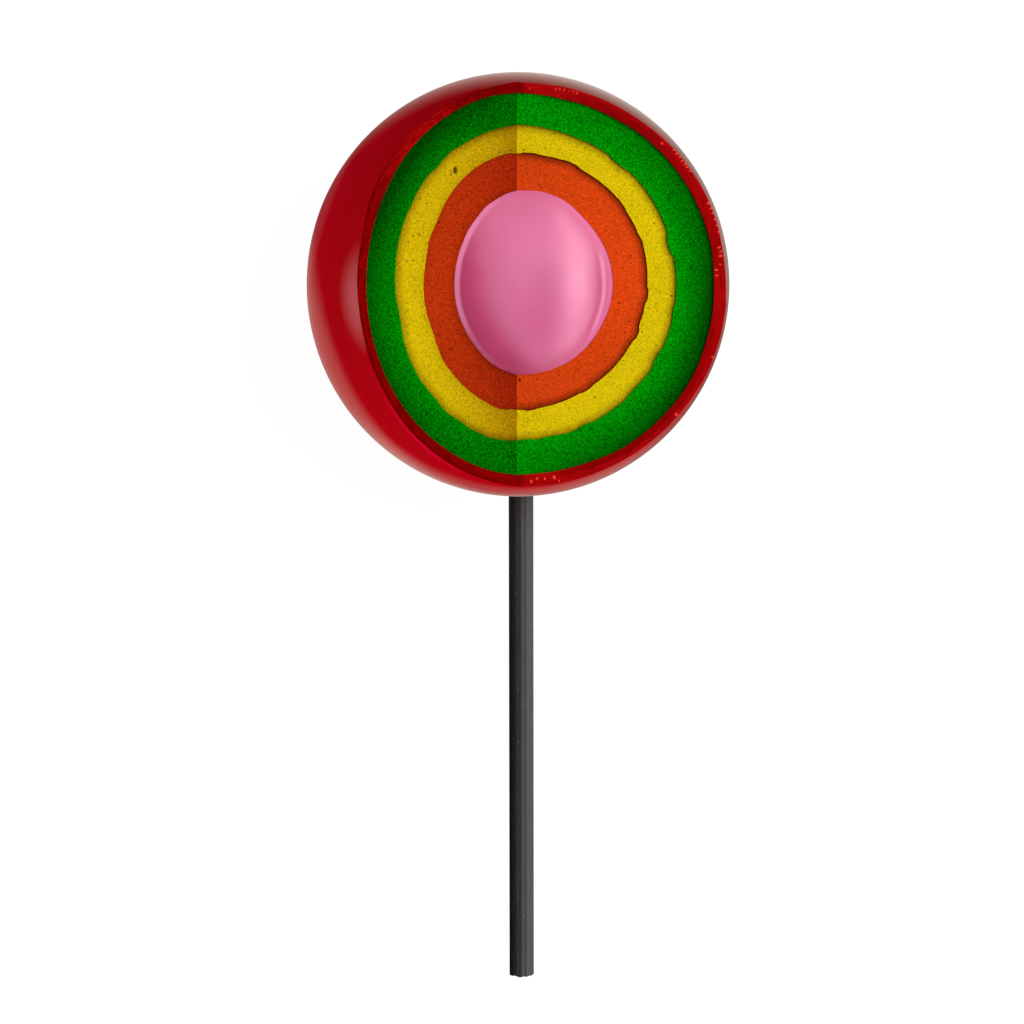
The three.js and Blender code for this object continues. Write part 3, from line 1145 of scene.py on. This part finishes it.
def centre_material(colours, sizes):
    """Smooth, softly glossy pink, with painted shade at its lower left and a painted highlight line along its
    foot on the left.
    """
    material, nodes = material_nodes("smooth_pink")
    place = object_place(nodes)
    part = centre_zones(nodes, sizes, *nodes.split(place))
    clouds = nodes.noise(place, 6 * MM, detail=2)
    # Painted light: a lit, warmer tone on the right
    tone = nodes.mix(part.painted_right_light, rgba(colours.pink), rgba(colours.pink_painted_light))
    tone = nodes.mix(part.low, tone, rgba(colours.pink_low))
    # Painted shade at the lower left
    tone = nodes.mix(part.painted_shade, tone, rgba(colours.pink_painted_shade))
    # Painted shade just above the painted highlight line on the left
    tone = nodes.mix(0.09 * part.beside_lip, tone, BLACK)
    # Painted highlight line along the foot on the left
    tone = nodes.mix(part.lip, tone, rgba(colours.pink_painted_highlight))
    tone = nodes.mix(0.5 * part.foot, tone, rgba(colours.pink_edge))
    # Painted shade and light that even out how it is lit, times random clouds
    tone = nodes.mix(1.0, tone, part.even * (0.96 + 0.08 * clouds), blend="MULTIPLY")
    surface(nodes, finish(nodes, {
        "Base Color": tone,
        "Roughness": 0.27 + 0.04 * clouds,
        "IOR": 1.45,
        "Normal": bump(nodes, nodes.noise(place, 0.6 * MM, detail=2), 0.02 * MM, 0.3),
    }))
    return material


def stick_material(colours):
    """Satin dark plastic with painted light on its right and painted shade on its left, fine lengthwise
    streaks and dust.
    """
    material, nodes = material_nodes("satin_stick_plastic")
    place = object_place(nodes)
    x, _, _ = nodes.split(place)
    along = nodes.add("ShaderNodeMapping", inputs={"Vector": place, "Scale": (1.0, 0.06, 1.0)})
    streaks = nodes.noise(along, 0.35 * MM, detail=3, roughness=0.6)
    dust = nodes.smooth((nodes.noise(place, 0.25 * MM, detail=1) - 0.7) * 8)
    # Painted light and shade across the stick, dark on the left to light on the right
    light = nodes.clamp(1.75 * (0.5 + (x - STICK_X) / (2 * STICK_RADIUS)))
    tone = nodes.mix(light, rgba(colours.stick_painted_shade), rgba(colours.stick))
    tone = nodes.mix(1.0, tone, 0.8 + 0.4 * streaks, blend="MULTIPLY")
    tone = nodes.mix(0.3 * dust, tone, DUST_GREY)
    surface(nodes, finish(nodes, {
        "Base Color": tone,
        "Roughness": 0.6,
        "Specular IOR Level": 0.2,
        "Normal": bump(nodes, streaks, 0.02 * MM, 0.4),
    }))
    return material


def floor_material(stage):
    """A pale, softly glowing floor that keeps only faint shadows."""
    material, nodes = material_nodes("pale_floor")
    shade = nodes.noise(object_place(nodes), 0.4, detail=1)
    surface(nodes, finish(nodes, {
        "Base Color": nodes.mix(0.01, rgba(stage.floor), shade),
        "Roughness": 0.9,
        "Specular IOR Level": 0.0,
        "Emission Color": WHITE,
        "Emission Strength": 0.95,
    }))
    return material


# Operators and what they share

def skins(sizes):
    """The surfaces between the layers, from the outside in."""
    return {
        "shell": Skin(sizes.ball_radius),
        "green": Skin(sizes.shell_inside, GREEN_SHIFT, GREEN_LOBES, GREEN_BUMPS),
        "yellow": Skin(
            sizes.green_inside, YELLOW_SHIFT, YELLOW_LOBES, YELLOW_BUMPS, ragged=0.15 * MM, seed=0.1
        ),
        "orange": Skin(
            sizes.yellow_inside, ORANGE_SHIFT, ORANGE_LOBES, ORANGE_BUMPS, ragged=0.15 * MM, seed=0.2
        ),
        "centre": Skin(sizes.centre_radius, CENTRE_SHIFT, bumps=CENTRE_BUMPS, ragged=0.08 * MM, seed=0.3),
    }


def inset(skin, gap):
    """A skin drawn in by the gap to its neighbour."""
    return replace(skin, radius=skin.radius - gap)


class LOLLIPOP_OT_red_shell(bpy.types.Operator):
    """Make the thin polished shell with its cut edge"""

    bl_idname = "lollipop.red_shell"
    bl_label = "Red Shell"

    def execute(self, context):
        sizes = context.scene.lollipop_sizes
        skin = skins(sizes)
        material = shell_material(context.scene.lollipop_colours)
        rows = (BOWL_ROWS, 12, OUTSIDE_ROWS)
        nodes = layer_nodes(
            "glossy_shell", sizes, skin["shell"], skin["green"], 0.0, rows, rim_relief, material,
            drops=RIM_DROPS,
        )
        dress(made_piece("glossy_shell", nodes), "red_shell")
        return {"FINISHED"}


class LOLLIPOP_OT_sugar_layers(bpy.types.Operator):
    """Make the green, yellow and orange layers of grained sugar"""

    bl_idname = "lollipop.sugar_layers"
    bl_label = "Sugar Layers"

    def execute(self, context):
        sizes = context.scene.lollipop_sizes
        colours = context.scene.lollipop_colours
        skin = skins(sizes)
        layers = (("green", "yellow", 40), ("yellow", "orange", 32), ("orange", "centre", 36))
        for name, inner, face_rows in layers:
            look = SUGAR_LOOKS[name]
            light = getattr(colours, name)
            # The painted shade colour near the layer's outer edge
            painted_shade = getattr(colours, name + "_painted_shade")
            recess = getattr(sizes, name + "_recess")
            relief = sugar_relief(look)
            material = sugar_material(name + "_grained_sugar", light, painted_shade, sizes, look)
            outer = inset(skin[name], sizes.joint_gap)
            rows = (BOWL_ROWS, face_rows, BOWL_ROWS)
            nodes = layer_nodes(
                name + "_sugar", sizes, outer, skin[inner], recess, rows, relief, material
            )
            dress(made_piece(name + "_sugar", nodes), name + "_layer")
        return {"FINISHED"}


class LOLLIPOP_OT_pink_centre(bpy.types.Operator):
    """Make the smooth round centre"""

    bl_idname = "lollipop.pink_centre"
    bl_label = "Pink Centre"

    def execute(self, context):
        sizes = context.scene.lollipop_sizes
        nodes = ball_nodes(sizes, centre_material(context.scene.lollipop_colours, sizes))
        dress(made_piece("round_centre", nodes), "pink_centre")
        return {"FINISHED"}


class LOLLIPOP_OT_stick(bpy.types.Operator):
    """Make the fluted stick"""

    bl_idname = "lollipop.stick"
    bl_label = "Stick"

    def execute(self, context):
        material = stick_material(context.scene.lollipop_colours)
        nodes = stick_nodes(context.scene.lollipop_sizes, material)
        stick = made_piece("fluted_stick", nodes)
        stick.visible_glossy = False
        dress(stick, "stick")
        return {"FINISHED"}


def aim(thing, place, target):
    thing.location = place
    thing.rotation_euler = (Vector(target) - Vector(place)).to_track_quat("-Z", "Y").to_euler()


def area_light(name, place, target, size, watts, diffuse=True, glossy=True):
    """A soft rectangular light, seen by matt surfaces, by gloss or by both."""
    light = bpy.data.lights.new(name, "AREA")
    light.shape = "RECTANGLE"
    light.size, light.size_y = size
    light.energy = watts
    lamp = bpy.data.objects.new(name, light)
    lamp.visible_camera = False
    lamp.visible_diffuse = diffuse
    lamp.visible_glossy = glossy
    aim(lamp, place, target)
    bpy.context.scene.collection.objects.link(lamp)
    return lamp


def soft_edges(lamp, softness):
    """Makes a light round, and lets it fade out towards its edge."""
    light = lamp.data
    light.shape = "ELLIPSE"
    light.use_nodes = True
    light.node_tree.nodes.clear()
    nodes = Nodes(light.node_tree)
    u, v, _ = nodes.split(nodes.add("ShaderNodeNewGeometry", output="Parametric"))
    across = 2 * u - 1
    along = 2 * v - 1
    off = nodes.math("SQRT", across * across + along * along)
    glow = nodes.add("ShaderNodeEmission", inputs={"Strength": nodes.smooth((1 - off) / softness)})
    nodes.add("ShaderNodeOutputLight", inputs={"Surface": glow})


def soft_world(strength):
    world = bpy.data.worlds.new("soft_room")
    world.use_nodes = True
    background = world.node_tree.nodes["Background"]
    background.inputs["Color"].default_value = WHITE
    background.inputs["Strength"].default_value = strength
    world.cycles_visibility.glossy = False
    bpy.context.scene.world = world


def make_floor(stage):
    mesh = bpy.data.meshes.new("floor")
    half = stage.floor_size / 2
    drop = -0.2 * MM
    corners = [(-half, -half, drop), (half, -half, drop), (half, half, drop), (-half, half, drop)]
    mesh.from_pydata(corners, [], [(0, 1, 2, 3)])
    mesh.materials.append(floor_material(stage))
    floor = bpy.data.objects.new("floor", mesh)
    floor.visible_glossy = False
    bpy.context.scene.collection.objects.link(floor)


def make_camera(stage):
    data = bpy.data.cameras.new("camera")
    data.lens = stage.lens
    data.sensor_width = 36
    camera = bpy.data.objects.new("camera", data)
    camera.location = (0.0, 0.0, BALL_HEIGHT + stage.camera_height)
    camera.rotation_euler = (-stage.tilt, stage.turn, 0.0)
    bpy.context.scene.collection.objects.link(camera)
    bpy.context.scene.camera = camera


class LOLLIPOP_OT_stage(bpy.types.Operator):
    """Make the floor, the lights and the camera"""

    bl_idname = "lollipop.stage"
    bl_label = "Stage"

    def execute(self, context):
        stage = context.scene.lollipop_stage
        context.scene.view_settings.view_transform = "Standard"
        make_camera(stage)
        make_floor(stage)
        soft_world(ROOM_STRENGTH)
        ball = Vector((0.0, 0.0, BALL_HEIGHT))
        area_light("overhead_softbox", SOFTBOX_PLACE, ball, SOFTBOX_SIZE, SOFTBOX_WATTS, glossy=False)
        for name, place, roll in STRIPS:
            strip = area_light(name, place, ball, STRIP_SIZE, STRIP_WATTS, diffuse=False)
            strip.rotation_euler.rotate_axis("Z", math.radians(roll))
            soft_edges(strip, 1.0)
        bounce = Vector(BOUNCE_PLACE)
        area_light("floor_bounce", bounce, bounce + UP, BOUNCE_SIZE, BOUNCE_WATTS, glossy=False)
        for name, place, facing, size, watts, softness in GLOWS:
            lamp = area_light(name, place, Vector(place) + facing, size, watts, diffuse=False)
            soft_edges(lamp, softness)
            if facing == UP:
                lamp.data.color = WARM_WHITE
        return {"FINISHED"}


class LOLLIPOP_PT_sidebar(bpy.types.Panel):
    """Lists the lollipop's operators"""

    bl_idname = "LOLLIPOP_PT_sidebar"
    bl_label = "Lollipop"
    bl_space_type = "VIEW_3D"
    bl_region_type = "UI"
    bl_category = "Lollipop"

    def draw(self, context):
        for operator in OPERATORS:
            self.layout.operator(operator.bl_idname)


OPERATORS = (
    LOLLIPOP_OT_red_shell,
    LOLLIPOP_OT_sugar_layers,
    LOLLIPOP_OT_pink_centre,
    LOLLIPOP_OT_stick,
    LOLLIPOP_OT_stage,
)
GROUPS = {
    "lollipop_sizes": LollipopSizes,
    "lollipop_colours": LollipopColours,
    "lollipop_stage": LollipopStage,
}


def register():
    for group in (*GROUPS.values(), *OPERATORS, LOLLIPOP_PT_sidebar):
        bpy.utils.register_class(group)
    for name, group in GROUPS.items():
        setattr(bpy.types.Scene, name, bpy.props.PointerProperty(type=group))


def unregister():
    for name in GROUPS:
        delattr(bpy.types.Scene, name)
    for group in (LOLLIPOP_PT_sidebar, *reversed(OPERATORS), *GROUPS.values()):
        bpy.utils.unregister_class(group)


def main():
    register()
    bpy.ops.lollipop.red_shell()
    bpy.ops.lollipop.sugar_layers()
    bpy.ops.lollipop.pink_centre()
    bpy.ops.lollipop.stick()
    bpy.ops.lollipop.stage()


if __name__ == "__main__":
    main()
